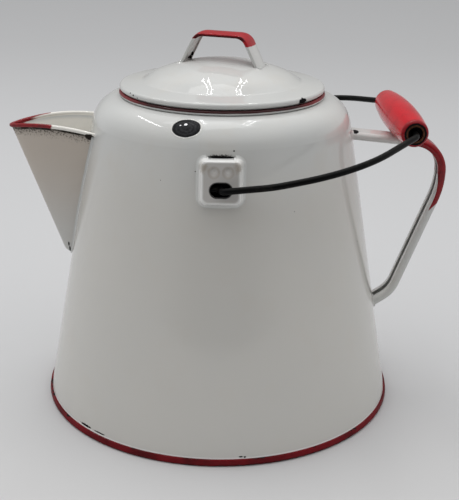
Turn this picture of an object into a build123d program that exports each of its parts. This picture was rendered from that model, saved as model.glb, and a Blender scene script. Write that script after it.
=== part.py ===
from build123d import *
import os
from math import asin, cos, degrees, floor, radians, sin, tan

# An enamelled steel coffee pot in millimetres. The origin is the centre of its flat bottom, +Z is up,
# the side handle is on +X, the pouring spout on -X, and the bail hangs in two ears on -Y and +Y.

# Body: one sheet that runs up the cone, over the shoulder and out into the rolled mouth
base_radius = 120.0
wall_taper = 10.07
body_sheet = 1.2
shoulder_height = 210.1
shoulder_radius = 19.7
mouth_land = 0.1
mouth_neck_fillet = 0.72
mouth_bead_radius = 1.55
mouth_bead_height = 211.8
mouth_curl_turn = 240.0

# Bottom pan: a flat disc whose hem grips the lower edge of the wall
pan_sheet = 1.2
pan_hem_height = 4.7
pan_hem_thickness = 1.1
pan_flange_thickness = 1.3
pan_corner_radius = 1.7
pan_lip_radius = 0.5

# Spout: an open, keeled trough welded outside the wall
spout_sheet = 1.1
spout_tip_height = 186.9
spout_arch_height = 190.6
spout_root_height = 188.7
spout_overhang = 53.6
spout_keel_lean = 20.6
spout_half_width = 29.3
spout_root_depth = 10.0
spout_tip_bluntness = 7.2
spout_cheek_length = 50.0
spout_bottom_height = 98.0
spout_bottom_half_width = 3.6
spout_toe_radius = 7.0
spout_toe_allowance = 1.0
spout_bead_radius = 1.3

# Strainer holes through the wall behind the spout
strainer_hole_radius = 2.0
strainer_pitch = 8.5
strainer_top_height = 174.0
strainer_bottom_height = 124.0
strainer_margin = 6.0

# Side handle: a strap folded into a channel, its two lips turned in towards the pot
handle_width = 17.0
handle_depth = 5.4
handle_sheet = 0.9
handle_slot = 6.0
handle_top_height = 184.3
handle_arm_droop = 5.32
handle_overhang = 61.4
handle_upper_radius = 19.9
handle_knuckle_drop = 34.6
handle_waist_radius = 56.0
handle_elbow_overhang = 13.3
handle_elbow_height = 72.8
handle_elbow_radius = 22.0
handle_foot_rise = 33.7
handle_root_depth = 12.0

# Bail ears: pressed boxes welded to the wall, open at the top by a drain slit
ear_height = 175.6
ear_width = 27.0
ear_length = 28.8
ear_corner_radius = 5.0
ear_proud = 7.2
ear_sheet = 1.0
ear_side_lean = 14.5
ear_edge_radius = 1.0
ear_hole_width = 13.0
ear_hole_height = 8.4
ear_slit_width = 14.7
ear_slit_depth = 1.4
ear_dent_height = 182.8
ear_dent_spacing = 8.2
ear_dent_radius = 3.6
ear_dent_depth = 0.4

# Bail: one round wire, hooked into the ears at both ends and threaded through the grip
wire_radius = 2.0
pivot_height = 172.5
hook_reach = 6.5
hook_bend_radius = 2.6
ear_bend_radius = 4.4
bail_overhang = 32.3
bail_skew = 2.0
bail_bow_reach = 31.0
bail_bow_flare = 8.7
bail_bow_radius = 45.0
bail_shoulder_reach = 81.3
bail_shoulder_flare = 4.9
bail_shoulder_radius = 78.0
bail_grip_bend_radius = 9.0
running_clearance = 0.35
arm_clearance = 0.8

# Grip: a turned wooden barrel, free to spin and to slide a little on its wire
grip_length = 100.0
grip_radius = 11.1
grip_end_radius = 8.5
grip_end_fillet = 2.6
grip_bore_radius = 2.5
grip_recess_radius = 4.8
grip_recess_depth = 3.6
grip_shift = 2.5
grip_end_play = 3.1

# Lid: a shallow dome with a flat brim and a rolled edge, lifted by a strap
lid_sheet = 1.0
lid_edge_setback = 0.4
lid_edge_radius = 2.0
lid_edge_turn = 190.0
lid_seat_gap = 0.3
lid_brim_width = 12.8
lid_brim_slope = 8.0
lid_crease_radius = 4.5
lid_foot_slope = 33.0
lid_knuckle_radius = 30.5
lid_crown_slope = 20.5
lid_cone_run = 4.0

# Collar: the ring under the lid that centres it in the mouth
collar_sheet = 1.0
collar_clearance = 0.8
collar_depth = 12.0
collar_lead_height = 3.0
collar_lead_inset = 1.0

# Lid handle: a crowned strap bent into a bridge and turned a little about the lid's axis
lid_strap_width = 16.0
lid_strap_sheet = 1.1
lid_strap_lip = 0.9
lid_strap_crown = 0.9
lid_strap_rise = 37.45
lid_strap_half_span = 17.0
lid_strap_foot_depth = 4.9
lid_strap_leg_lean = 26.9
lid_strap_bend_radius = 9.5
lid_strap_turn = -20.0


def wall_radius(height):
    """Outer radius of the pot's conical wall at a height."""
    return base_radius - height * tan(radians(wall_taper))


def neck_radius():
    """Radius of the middle of the sheet where it stands up inside the mouth's bead."""
    shoulder_end = wall_radius(shoulder_height) - shoulder_radius * tan(radians(90 - wall_taper) / 2)
    return shoulder_end - mouth_land - mouth_neck_fillet


def mouth_radius():
    """Outer radius of the rolled mouth."""
    return neck_radius() - body_sheet / 2 + 2 * mouth_bead_radius


def lid_radius():
    """Outer radius of the lid's rolled edge."""
    return mouth_radius() - lid_edge_setback


def ring(section):
    """Solid turned about the pot's axis from a section drawn as radius and height."""
    return revolve(Plane.XZ * section, axis=Axis.Z)


def sheet_section(path, thickness):
    """Section of a bent sheet, with half its thickness on each side of a path."""
    return make_face(offset(path, thickness / 2, side=Side.BOTH).edges())


def pot_envelope():
    """The pot's outside form, filled in, which trims whatever is welded to it."""
    outside = FilletPolyline(
        (base_radius, 0),
        (wall_radius(shoulder_height), shoulder_height),
        (0, shoulder_height),
        radius=shoulder_radius,
    )
    closing = Polyline((0, shoulder_height), (0, 0), (base_radius, 0))
    return ring(make_face(outside + closing))


def pot_body_shell():
    """The body sheet from the pan to the rolled mouth, without its strainer holes."""
    half = body_sheet / 2
    inset = half / cos(radians(wall_taper))
    neck = neck_radius()
    top = shoulder_height - half
    rise = FilletPolyline(
        (wall_radius(pan_sheet + half) - inset, pan_sheet + half),
        (wall_radius(top) - inset, top),
        (neck, top),
        (neck, mouth_bead_height),
        radius=[shoulder_radius - half, mouth_neck_fillet],
    )
    curl = JernArc((neck, mouth_bead_height), (0, 1), mouth_bead_radius - half, -mouth_curl_turn)
    return ring(sheet_section(rise + curl, body_sheet))


def spout_reach():
    """Distance from the pot's axis to the spout's tip."""
    return wall_radius(spout_tip_height) + spout_overhang


def spout_half_width_at(height):
    """Half the spout's outer width at a height, from its bottom to its tip and on above."""
    share = (height - spout_bottom_height) / (spout_tip_height - spout_bottom_height)
    return spout_bottom_half_width + share * (spout_half_width - spout_bottom_half_width)


def spout_outline(height, inset):
    """The two halves of the spout's outline at a height, moved in by an inset."""
    scale = spout_half_width_at(height) / spout_half_width
    tip = spout_reach() - (spout_tip_height - height) * tan(radians(spout_keel_lean)) - inset
    side = spout_half_width_at(height) - inset
    root = wall_radius(height) - spout_root_depth
    blunt = spout_tip_bluntness * scale
    cheek = tip - spout_cheek_length * scale
    near = Bezier((-root, -side, height), (-cheek, -side, height), (-tip, -blunt, height), (-tip, 0, height))
    far = Bezier((-tip, 0, height), (-tip, blunt, height), (-cheek, side, height), (-root, side, height))
    return near, far


def spout_section(height, inset):
    """Closed section of the spout at a height, shut across its root."""
    near, far = spout_outline(height, inset)
    return make_face(near + far + Line(far @ 1, near @ 0))


def spout_toe_cut():
    """Slab whose lower corner is rounded as the spout's toe is, seen from the side."""
    stand_off = 0.2
    lean = tan(radians(spout_keel_lean))
    top = spout_arch_height + spout_toe_radius
    reach_at_top = spout_reach() + stand_off + (top - spout_tip_height) * lean
    reach_at_bottom = reach_at_top - (top - spout_bottom_height) * lean
    front = FilletPolyline(
        (0, spout_bottom_height),
        (-reach_at_bottom, spout_bottom_height),
        (-reach_at_top, top),
        radius=spout_toe_radius,
    )
    back = Polyline((-reach_at_top, top), (0, top), (0, spout_bottom_height))
    return extrude(Plane.XZ * make_face(front + back), amount=spout_half_width * 2, both=True)


def spout_rim_cut():
    """Lying cylinder whose top runs through the arched rim's tip, crest and root."""
    tip = spout_reach()
    root = wall_radius(spout_root_height)
    arch = ThreePointArc(
        (-tip, spout_tip_height), (-(tip + root) / 2, spout_arch_height), (-root, spout_root_height)
    )
    centre = Pos(arch.arc_center.X, 0, arch.arc_center.Y)
    return centre * Rot(90, 0, 0) * Cylinder(arch.radius, 4 * spout_half_width)


def spout():
    """The keeled trough with its rounded toe and its arched, rolled rim."""
    toe = spout_toe_radius
    above = spout_arch_height + toe
    inset = spout_sheet / cos(radians(spout_keel_lean))
    outside = loft(
        [spout_section(spout_bottom_height - spout_toe_allowance, 0), spout_section(above, 0)], ruled=True
    )
    inside = loft(
        [spout_section(spout_bottom_height + toe / 2, inset), spout_section(above + toe, inset)], ruled=True
    )
    trough = outside & spout_toe_cut() & spout_rim_cut()
    rim_edges = trough.faces().sort_by(Axis.Z)[-1].edges().sort_by(Axis.X)[:-1]
    rim_path = Wire(rim_edges)
    rim_start = Plane(origin=rim_path @ 0, z_dir=rim_path % 0)
    bead = sweep(rim_start * Circle(spout_bead_radius), path=rim_path)
    return trough - inside + bead - pot_envelope()


def strainer_holes():
    """Drillings through the wall, in rows that narrow with the spout."""
    rows = floor((strainer_top_height - strainer_bottom_height) / strainer_pitch) + 1
    holes = []
    for row in range(rows):
        height = strainer_top_height - row * strainer_pitch
        room = spout_half_width_at(height) - strainer_margin
        count = 2 * floor(room / strainer_pitch - row % 2 / 2) + 1 + row % 2
        for place in range(count):
            sideways = (place - (count - 1) / 2) * strainer_pitch
            turn = 180 + degrees(asin(sideways / wall_radius(height)))
            drill = Plane((0, 0, height), x_dir=(0, 0, 1), z_dir=(1, 0, 0))
            bore = extrude(drill * Circle(strainer_hole_radius), amount=base_radius)
            holes.append(Rot(0, 0, turn) * bore)
    return holes


def pot_body():
    """The body sheet with its strainer holes."""
    return pot_body_shell() - strainer_holes()


def bottom_pan():
    """The bottom disc, with a flange inside the wall and a hem outside it."""
    hem_bottom = base_radius + pan_hem_thickness
    hem_top = wall_radius(pan_hem_height) + pan_hem_thickness
    flange = wall_radius(pan_hem_height) - body_sheet - pan_flange_thickness
    outside = FilletPolyline(
        (0, 0),
        (hem_bottom, 0),
        (hem_top, pan_hem_height),
        (flange, pan_hem_height),
        radius=[pan_corner_radius, pan_lip_radius],
    )
    inside = Polyline((flange, pan_hem_height), (flange, pan_sheet), (0, pan_sheet), (0, 0))
    return ring(make_face(outside + inside)) - pot_body_shell()


def handle_section():
    """Channel section of the side handle, its open side facing the pot."""
    half_width = (handle_width - handle_sheet) / 2
    side_radius = (handle_depth - handle_sheet) / 2
    flat = half_width - side_radius
    lip = handle_slot / 2 + handle_sheet / 2
    back = Line((-flat, side_radius), (flat, side_radius))
    right = JernArc(back @ 1, (1, 0), side_radius, -180)
    left = JernArc(back @ 0, (-1, 0), side_radius, 180)
    right_lip = Line(right @ 1, (lip, -side_radius))
    left_lip = Line(left @ 1, (-lip, -side_radius))
    return sheet_section(back + right + left + right_lip + left_lip, handle_sheet)


def handle_arm_height(reach):
    """Height of the handle's centre line on its upper arm, at a distance from the pot's axis."""
    return handle_top_height - (reach - wall_radius(handle_top_height)) * tan(radians(handle_arm_droop))


def side_handle():
    """The strap handle, from the wall out over the knuckle and down to the wall again."""
    span = wall_radius(handle_top_height) + handle_overhang
    elbow = wall_radius(handle_elbow_height) + handle_elbow_overhang
    root = wall_radius(handle_top_height) - handle_root_depth
    foot = wall_radius(handle_elbow_height) - handle_root_depth
    foot_drop = (elbow - foot) * tan(radians(handle_foot_rise))
    spine = FilletPolyline(
        (root, 0, handle_arm_height(root)),
        (span, 0, handle_arm_height(span)),
        (span, 0, handle_top_height - handle_knuckle_drop),
        (elbow, 0, handle_elbow_height),
        (foot, 0, handle_elbow_height - foot_drop),
        radius=[handle_upper_radius, handle_waist_radius, handle_elbow_radius],
    )
    start = Plane(origin=spine @ 0, x_dir=(0, 1, 0), z_dir=spine % 0)
    strap = sweep(start * handle_section(), path=spine)
    return strap - pot_envelope()


def ear_box(shrink, depth):
    """Tapered, rounded block standing on the wall at the ear's place."""
    below = 3.0
    lean = radians(wall_taper)
    seat = Plane(
        origin=(0, -wall_radius(ear_height), ear_height), x_dir=(1, 0, 0), z_dir=(0, -cos(lean), sin(lean))
    )
    spread = 2 * (below * tan(radians(ear_side_lean)) - shrink)
    outline = RectangleRounded(ear_width + spread, ear_length + spread, ear_corner_radius)
    return seat, extrude(seat.offset(-below) * outline, amount=depth + below, taper=ear_side_lean)


def ear_front():
    """The pressed ear with the bail's hole, its drain slit and two weld dents."""
    seat, outside = ear_box(0, ear_proud)
    face_edges = outside.faces().sort_by(Axis(seat.origin, seat.z_dir))[-1].edges()
    outside = fillet(face_edges, ear_edge_radius)
    inside = ear_box(ear_sheet, ear_proud - ear_sheet)[1]
    towards_viewer = Plane((0, 0, pivot_height), x_dir=(1, 0, 0), z_dir=(0, -1, 0))
    hole = extrude(towards_viewer * SlotOverall(ear_hole_width, ear_hole_height), amount=2 * base_radius)
    slit = seat * Pos(0, ear_length / 2, 0) * Box(ear_slit_width, ear_length / 2, 2 * ear_slit_depth)
    dent_rise = (ear_dent_height - ear_height) / cos(radians(wall_taper))
    dents = [
        seat * Pos(side * ear_dent_spacing / 2, dent_rise, ear_proud + ear_dent_radius - ear_dent_depth)
        * Sphere(ear_dent_radius)
        for side in (-1, 1)
    ]
    return outside - inside - hole - slit - dents - pot_envelope()


def ear_back():
    """The same ear on the far side of the pot."""
    return mirror(ear_front(), about=Plane.XZ)


def bail_reach():
    """Distance from the bail's pivot axis to the grip's axis."""
    return wall_radius(pivot_height) + bail_overhang


def bail_rest_angle():
    """Rise of the bail above level where its grip lies on the side handle's arm, in degrees."""
    droop = radians(handle_arm_droop)
    seat_reach = wall_radius(handle_top_height)
    stand_off = handle_depth / 2 + grip_radius + running_clearance
    lift = stand_off + seat_reach * sin(droop) + (handle_top_height - pivot_height) * cos(droop)
    return degrees(asin(lift / bail_reach())) - handle_arm_droop


def bail_plane():
    """The bail's own plane at rest: x is its reach from the pivot, y runs along the pivot axis."""
    rise = radians(bail_rest_angle())
    return Plane((0, 0, pivot_height), x_dir=(cos(rise), 0, sin(rise)), z_dir=(-sin(rise), 0, cos(rise)))


def hook_half_width():
    """Distance from the pot's middle plane to the wire's hooked end, inside the ear."""
    return wall_radius(pivot_height - hook_reach) + running_clearance + wire_radius


def arm_half_width():
    """Distance from the pot's middle plane to the wire where it leaves the ear's face."""
    face = wall_radius(pivot_height - wire_radius) + ear_proud / cos(radians(wall_taper))
    return face + arm_clearance + wire_radius


def bail_wire():
    """The wire, from one hooked end round to the other."""
    grip_bend = grip_length / 2 + grip_end_play
    arm = arm_half_width()
    near = [
        (-hook_reach, -hook_half_width()),
        (0, -hook_half_width()),
        (0, -arm),
        (bail_bow_reach, -arm - bail_bow_flare),
        (bail_shoulder_reach, -arm - bail_shoulder_flare),
    ]
    far = [(reach, -sideways) for reach, sideways in reversed(near)]
    across = [(bail_reach() + bail_skew, -grip_bend), (bail_reach() - bail_skew, grip_bend)]
    bends = [hook_bend_radius, ear_bend_radius, bail_bow_radius, bail_shoulder_radius, bail_grip_bend_radius]
    centre_line = bail_plane() * FilletPolyline(*near, *across, *far, radius=bends + bends[::-1])
    start = Plane(origin=centre_line @ 0, z_dir=centre_line % 0)
    return sweep(start * Circle(wire_radius), path=centre_line)


def grip_axis():
    """Plane at the grip's middle at rest, whose x runs along the grip."""
    swing = bail_plane()
    along = (swing.y_dir * (grip_length / 2 + grip_end_play) - swing.x_dir * bail_skew).normalized()
    middle = swing.from_local_coords((bail_reach(), 0, 0)) + along * grip_shift
    return Plane(origin=middle, x_dir=along, z_dir=swing.z_dir)


def bail_grip():
    """The barrel, bored for the wire and recessed at both ends."""
    half = grip_length / 2
    belly = ThreePointArc((-half, grip_end_radius), (0, grip_radius), (half, grip_end_radius))
    rest = Polyline((half, grip_end_radius), (half, 0), (-half, 0), (-half, grip_end_radius))
    profile = make_face(belly + rest)
    rims = profile.vertices().filter_by(lambda v: v.Y > grip_end_radius / 2)
    barrel = revolve(fillet(rims, grip_end_fillet), axis=Axis.X)
    along = Rot(0, 90, 0)
    bore = along * Cylinder(grip_bore_radius, 2 * grip_length)
    recesses = [
        Pos(end * (half - grip_recess_depth / 2), 0, 0) * along * Cylinder(grip_recess_radius, grip_recess_depth)
        for end in (-1, 1)
    ]
    return grip_axis() * (barrel - bore - recesses)


def lid_shell_section():
    """Section of the lid's sheet, from its rolled edge in to the middle of the dome."""
    slope = radians(lid_brim_slope)
    foot = radians(lid_foot_slope)
    crown = radians(lid_crown_slope)
    curl_radius = lid_edge_radius - lid_sheet / 2
    knuckle_radius = lid_knuckle_radius - lid_sheet / 2
    bead_top = mouth_bead_height + mouth_bead_radius
    edge_radius = lid_radius() - lid_edge_radius + curl_radius * sin(slope)
    edge_height = bead_top + lid_seat_gap + lid_edge_radius + curl_radius * cos(slope)
    curl = JernArc((edge_radius, edge_height), (cos(slope), -sin(slope)), curl_radius, -lid_edge_turn)
    brim = PolarLine((edge_radius, edge_height), lid_brim_width, 180 - lid_brim_slope)
    crease = JernArc(brim @ 1, brim % 1, lid_crease_radius, lid_brim_slope - lid_foot_slope)
    cone_top = (crease @ 1).X - lid_cone_run
    cone = Line(crease @ 1, (cone_top, (crease @ 1).Y + lid_cone_run * tan(foot)))
    crown_radius = knuckle_radius + (cone_top - knuckle_radius * sin(foot)) / sin(crown)
    knuckle = JernArc(cone @ 1, cone % 1, knuckle_radius, lid_foot_slope - lid_crown_slope)
    crown_centre = (0, (knuckle @ 1).Y - crown_radius * cos(crown))
    top = CenterArc(crown_centre, crown_radius, 90 - lid_crown_slope, lid_crown_slope)
    section = sheet_section(curl + brim + crease + cone + knuckle + top, lid_sheet)
    outer_side = Pos(lid_radius(), edge_height) * Rectangle(2 * lid_radius(), 2 * lid_radius())
    return section & outer_side


def lid_shell():
    """The pressed dome and brim."""
    return ring(lid_shell_section())


def lid_collar():
    """The ring under the brim, with its lower edge drawn in a little."""
    middle = neck_radius() - body_sheet / 2 - collar_clearance - collar_sheet / 2
    brim = mouth_bead_height + mouth_bead_radius
    bottom = brim - collar_depth
    path = Polyline(
        (middle - collar_lead_inset, bottom),
        (middle, bottom + collar_lead_height),
        (middle, brim + collar_depth),
    )
    tall = ring(sheet_section(path, collar_sheet))
    return (tall - lid_shell()).solids().sort_by(Axis.Z)[0]


def lid_top():
    """Height of the middle of the dome."""
    return lid_shell_section().vertices().sort_by(Axis.Y)[-1].Y


def lid_handle():
    """The bridge-shaped strap that stands on the dome."""
    top = mouth_bead_height + mouth_bead_radius + lid_strap_rise - lid_strap_sheet / 2
    foot = lid_top() - lid_strap_foot_depth
    foot_reach = lid_strap_half_span + (top - foot) * tan(radians(lid_strap_leg_lean))
    spine = FilletPolyline(
        (-foot_reach, 0, foot),
        (-lid_strap_half_span, 0, top),
        (lid_strap_half_span, 0, top),
        (foot_reach, 0, foot),
        radius=lid_strap_bend_radius,
    )
    edge = (lid_strap_width - lid_strap_sheet) / 2
    crown = ThreePointArc((-edge, -lid_strap_crown), (0, 0), (edge, -lid_strap_crown))
    left_lip = Line(crown @ 0, (-edge, -lid_strap_crown - lid_strap_lip))
    right_lip = Line(crown @ 1, (edge, -lid_strap_crown - lid_strap_lip))
    section = sheet_section(left_lip + crown + right_lip, lid_strap_sheet)
    start = Plane(origin=spine @ 0, x_dir=(0, 1, 0), z_dir=spine % 0)
    strap = Rot(0, 0, lid_strap_turn) * sweep(start * section, path=spine)
    return (strap - lid_shell()).solids().sort_by(Axis.Z)[-1]


nodes = {
    "pot_body": pot_body,
    "bottom_pan": bottom_pan,
    "spout": spout,
    "side_handle": side_handle,
    "ear_front": ear_front,
    "ear_back": ear_back,
    "bail_wire": bail_wire,
    "bail_grip": bail_grip,
    "lid_shell": lid_shell,
    "lid_collar": lid_collar,
    "lid_handle": lid_handle,
}

os.makedirs("parts", exist_ok=True)
for name, make in nodes.items():
    export_step(make(), f"parts/{name}.step")
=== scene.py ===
"""The enamel, wire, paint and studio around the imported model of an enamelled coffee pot."""

import logging
import math
from dataclasses import dataclass
from enum import Enum
from typing import Any, Union

import bmesh
import bpy
from mathutils import Matrix, Vector
from mathutils.bvhtree import BVHTree


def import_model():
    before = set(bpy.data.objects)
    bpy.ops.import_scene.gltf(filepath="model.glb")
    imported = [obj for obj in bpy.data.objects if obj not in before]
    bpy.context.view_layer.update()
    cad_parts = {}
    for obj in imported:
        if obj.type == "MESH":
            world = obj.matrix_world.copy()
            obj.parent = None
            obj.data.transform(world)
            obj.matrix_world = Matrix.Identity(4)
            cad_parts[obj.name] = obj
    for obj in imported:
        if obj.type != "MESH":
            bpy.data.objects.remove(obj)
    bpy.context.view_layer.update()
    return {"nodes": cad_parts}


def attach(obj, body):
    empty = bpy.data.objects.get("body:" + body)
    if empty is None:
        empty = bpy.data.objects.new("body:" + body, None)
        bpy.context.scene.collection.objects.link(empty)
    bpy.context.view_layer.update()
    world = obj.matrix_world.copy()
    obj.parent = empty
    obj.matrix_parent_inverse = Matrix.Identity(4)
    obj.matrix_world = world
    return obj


LOG = logging.getLogger("coffee_pot")
MM = 0.001
PER_METRE = 1000.0
Point = tuple[float, float, float]
Pair = tuple[float, float]

# The pieces of one rounded corner, and the spacing of the points between two corners, in millimetres.
CORNER_STEPS = 6
OUTLINE_SPACING = 1.5

# The glaze where it is whole, and where soot or the bare ground coat has taken its shine.
GLAZE = {"IOR": 1.52, "Specular IOR Level": 0.5}
DULL = {"Roughness": 0.7, "IOR": 1.4, "Specular IOR Level": 0.08}


class Tint(Enum):
    """The colours of the pot's finishes, as linear red, green, blue and alpha."""

    WHITE = (0.640, 0.643, 0.625, 1.0)
    COOL_WHITE = (0.600, 0.615, 0.612, 1.0)
    WARM_WHITE = (0.615, 0.592, 0.548, 1.0)
    DUSTY_WHITE = (0.545, 0.470, 0.395, 1.0)
    # Painted light: a white brighter than the enamel, for the shaded inside of the spout's trough, its
    # bead and the struck chip's lip.
    PAINTED_LIGHT_WHITE = (0.860, 0.838, 0.780, 1.0)
    # Painted light: a brighter white for highlights on edges and bevels and for the shaded channel of the
    # handle.
    PAINTED_LIGHT_BRIGHT_WHITE = (0.830, 0.830, 0.815, 1.0)
    FACE_WHITE = (0.520, 0.505, 0.485, 1.0)
    RED = (0.400, 0.010, 0.016, 1.0)
    DEEP_RED = (0.200, 0.005, 0.010, 1.0)
    HEM_RED = (0.170, 0.006, 0.011, 1.0)
    # A darker red for thin coat, also used as painted shade under the lid's edge and under the strap's
    # lips.
    DARK_RED_AND_SHADE = (0.040, 0.003, 0.004, 1.0)
    MAROON = (0.250, 0.007, 0.012, 1.0)
    GRIP_RED = (0.600, 0.006, 0.016, 1.0)
    # Dark marks under the spout's rim, also used as painted shade in the handle's channel.
    GRIME_AND_SHADE = (0.030, 0.024, 0.020, 1.0)
    # A real stain colour, also used as painted shade in the ear's dents.
    STAIN_AND_SHADE = (0.330, 0.275, 0.215, 1.0)
    # The dark ground coat of chips, also used as painted shade inside the ears, in the ears' slit and hole
    # and in the grip's bore.
    GROUND_COAT_AND_SHADE = (0.006, 0.006, 0.007, 1.0)
    GROUND_GREY = (0.045, 0.046, 0.050, 1.0)
    RUST = (0.070, 0.032, 0.016, 1.0)
    BARE_STEEL = (0.620, 0.620, 0.630, 1.0)
    WIRE = (0.002, 0.002, 0.002, 1.0)
    WIRE_WORN = (0.016, 0.015, 0.012, 1.0)
    BARE_WOOD = (0.110, 0.046, 0.024, 1.0)
    DARK_WOOD = (0.050, 0.022, 0.012, 1.0)
    FLOOR = (0.567, 0.570, 0.578, 1.0)
    FAR_FLOOR = (0.450, 0.453, 0.460, 1.0)
    # Painted light: the floor close to the pot, painted lighter where its shadow falls.
    PAINTED_LIGHT_NEAR_FLOOR = (0.600, 0.598, 0.600, 1.0)


class Value:
    """A number on a shader socket. Arithmetic on it adds Math nodes."""

    def __init__(self, sheet: "NodeSheet", socket: bpy.types.NodeSocket) -> None:
        """Wraps one output socket of a sheet's tree.

        Args:
            sheet: The node sheet that the socket belongs to.
            socket: The output socket that carries the number.
        """
        self.sheet = sheet
        self.socket = socket

    def __add__(self, other: "Number") -> "Value":
        """Returns self + other."""
        return self.sheet.math("ADD", self, other)

    def __radd__(self, other: "Number") -> "Value":
        """Returns other + self."""
        return self.sheet.math("ADD", other, self)

    def __sub__(self, other: "Number") -> "Value":
        """Returns self - other."""
        return self.sheet.math("SUBTRACT", self, other)

    def __rsub__(self, other: "Number") -> "Value":
        """Returns other - self."""
        return self.sheet.math("SUBTRACT", other, self)

    def __mul__(self, other: "Number") -> "Value":
        """Returns self * other."""
        return self.sheet.math("MULTIPLY", self, other)

    def __rmul__(self, other: "Number") -> "Value":
        """Returns other * self."""
        return self.sheet.math("MULTIPLY", other, self)

    def __abs__(self) -> "Value":
        """Returns the size of self."""
        return self.sheet.math("ABSOLUTE", self, 0.0)


Number = Union[Value, float]


class NodeSheet:
    """The node tree of one material or of the room, with short ways to add what the finishes share."""

    def __init__(self, owner: bpy.types.Material | bpy.types.World) -> None:
        """Empties the owner's tree.

        Args:
            owner: The material or the world that the tree belongs to.
        """
        owner.use_nodes = True
        self.owner = owner
        self.tree = owner.node_tree
        self.tree.nodes.clear()
        self._place: bpy.types.NodeSocket | None = None
        self._axes: tuple[Value, Value, Value] | None = None

    @classmethod
    def named(cls, name: str) -> "NodeSheet":
        """Starts an empty material.

        Args:
            name: The material's name.

        Returns:
            The sheet of its tree.
        """
        return cls(bpy.data.materials.new(name))

    def add(
        self, kind: str, settings: dict[str, Any] | None = None, inputs: dict[Any, Any] | None = None
    ) -> bpy.types.Node:
        """Adds any node.

        Args:
            kind: The node's type name.
            settings: The node's own properties, which are set first.
            inputs: Socket names or places, each with a value or a link.

        Returns:
            The new node.
        """
        node = self.tree.nodes.new(kind)
        for key, setting in (settings or {}).items():
            setattr(node, key, setting)
        for key, source in (inputs or {}).items():
            if isinstance(source, Value):
                self.tree.links.new(source.socket, node.inputs[key])
            elif isinstance(source, bpy.types.NodeSocket):
                self.tree.links.new(source, node.inputs[key])
            elif isinstance(source, Tint):
                node.inputs[key].default_value = source.value
            else:
                node.inputs[key].default_value = source
        return node

    def math(self, operation: str, first: Number, second: Number = 0.0) -> Value:
        """Adds a Math node.

        Args:
            operation: The node's operation.
            first: The first number.
            second: The second number.

        Returns:
            The result.
        """
        node = self.add("ShaderNodeMath", {"operation": operation}, {0: first, 1: second})
        return Value(self, node.outputs[0])

    def largest(self, *values: Number) -> Number:
        """Compares several numbers.

        Args:
            *values: The numbers.

        Returns:
            The largest of them.
        """
        result = values[0]
        for value in values[1:]:
            result = self.math("MAXIMUM", result, value)
        return result

    def vector_math(self, operation: str, first: Any, second: Any = (0.0, 0.0, 0.0)) -> bpy.types.Node:
        """Adds a Vector Math node and returns it."""
        return self.add("ShaderNodeVectorMath", {"operation": operation}, {0: first, 1: second})

    @property
    def place(self) -> bpy.types.NodeSocket:
        """The surface point in the object's own metres, from one node that is added once."""
        if self._place is None:
            self._place = self.add("ShaderNodeTexCoord").outputs["Object"]
        return self._place

    def parts(self, vector: bpy.types.NodeSocket) -> tuple[Value, Value, Value]:
        """Returns a vector's x, y and z."""
        node = self.add("ShaderNodeSeparateXYZ", inputs={0: vector})
        return Value(self, node.outputs[0]), Value(self, node.outputs[1]), Value(self, node.outputs[2])

    def axes(self) -> tuple[Value, Value, Value]:
        """Splits the surface point, with nodes that are added once.

        Returns:
            Its x, y and z, in millimetres.
        """
        if self._axes is None:
            scaled = self.vector_math("MULTIPLY", self.place, (PER_METRE,) * 3).outputs[0]
            self._axes = self.parts(scaled)
        return self._axes

    def sideways(self) -> Value:
        """Returns the distance from the middle plane, more than 0 where the surface faces away from it.

        It is for pieces that never move, as is away_from.
        """
        return self.axes()[1] * self.parts(self.add("ShaderNodeNewGeometry").outputs["Normal"])[1]

    def across(self, x: Value, y: Value) -> Value:
        """Returns the distance from an axis, from the two distances square to it."""
        return self.math("SQRT", x * x + y * y)

    def moved(self, middle: Point) -> bpy.types.NodeSocket:
        """Returns the surface point as seen from another point, which is in millimetres."""
        return self.vector_math("SUBTRACT", self.place, tuple(v * MM for v in middle)).outputs[0]

    def away_from(self, middle: Point, axes: Point = (1.0, 1.0, 1.0)) -> Value:
        """Compares the surface's own direction with the direction away from a point.

        Args:
            middle: The point, in millimetres.
            axes: Factors on the three axes, where 0 leaves an axis out.

        Returns:
            1 where the surface faces straight away from the point, -1 where it faces the point.
        """
        flat = self.vector_math("MULTIPLY", self.moved(middle), axes).outputs[0]
        away = self.vector_math("NORMALIZE", flat).outputs[0]
        normal = self.add("ShaderNodeNewGeometry").outputs["Normal"]
        return Value(self, self.vector_math("DOT_PRODUCT", away, normal).outputs["Value"])

    def noise(
        self, grain: float, detail: float = 2.0, roughness: float = 0.5, stretch: Point = (1.0, 1.0, 1.0)
    ) -> Value:
        """Adds a noise.

        Args:
            grain: Size of one blotch, in millimetres.
            detail: How many finer layers are added.
            roughness: How strong the finer layers are.
            stretch: Factors on the three axes.

        Returns:
            The noise, about 0.5 on average.
        """
        scaled = self.vector_math("MULTIPLY", self.place, stretch).outputs[0]
        node = self.add(
            "ShaderNodeTexNoise",
            {"noise_dimensions": "3D"},
            {"Vector": scaled, "Scale": PER_METRE / grain, "Detail": detail, "Roughness": roughness},
        )
        return Value(self, node.outputs[0])

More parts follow.
